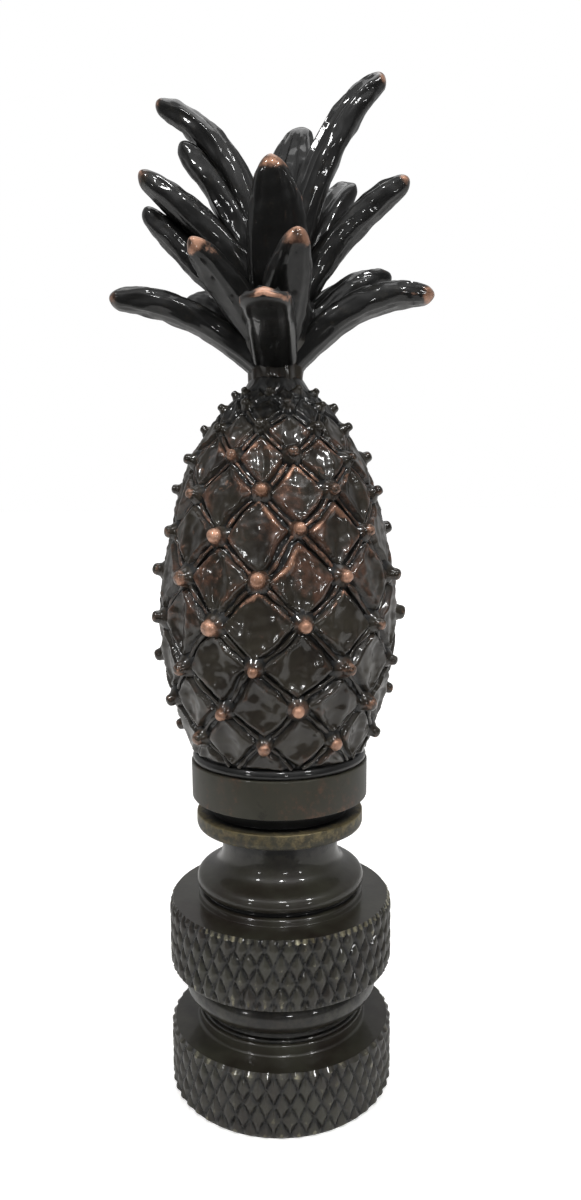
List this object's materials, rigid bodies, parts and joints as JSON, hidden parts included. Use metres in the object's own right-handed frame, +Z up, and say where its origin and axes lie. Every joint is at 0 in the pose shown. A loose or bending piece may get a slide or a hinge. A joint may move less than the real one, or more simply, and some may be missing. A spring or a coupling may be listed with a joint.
{
  "type": "lamp finial",
  "caption": "Pineapple lamp finial on two knurled nuts: screws onto a lamp harp's stud and holds the shade down.",
  "frame": {"origin": "on the turning axis, at the underside of the adapter nut", "axes": "+Z up along the turning axis, from the threaded socket to the crown of leaves; the pictured front faces -Y"},
  "size_m": [0.0219, 0.0208, 0.0694],
  "materials": {
    "knurled_bronze": "satin oil-rubbed bronze over knurled brass, edges worn lighter",
    "dark_bronze": "oil-rubbed bronze, glossy on the turned rings, satin on the knurl",
    "satin_bronze": "satin brown bronze with a brassy lower rim",
    "cast_bronze": "near-black lacquered cast bronze, rubbed to copper on nubs, edges and leaf tips"
  },
  "bodies": {
    "root": {"adapter": "knurled_bronze", "base_nut": "dark_bronze", "collar": "satin_bronze", "pineapple": "cast_bronze"}
  },
  "joints": []
}
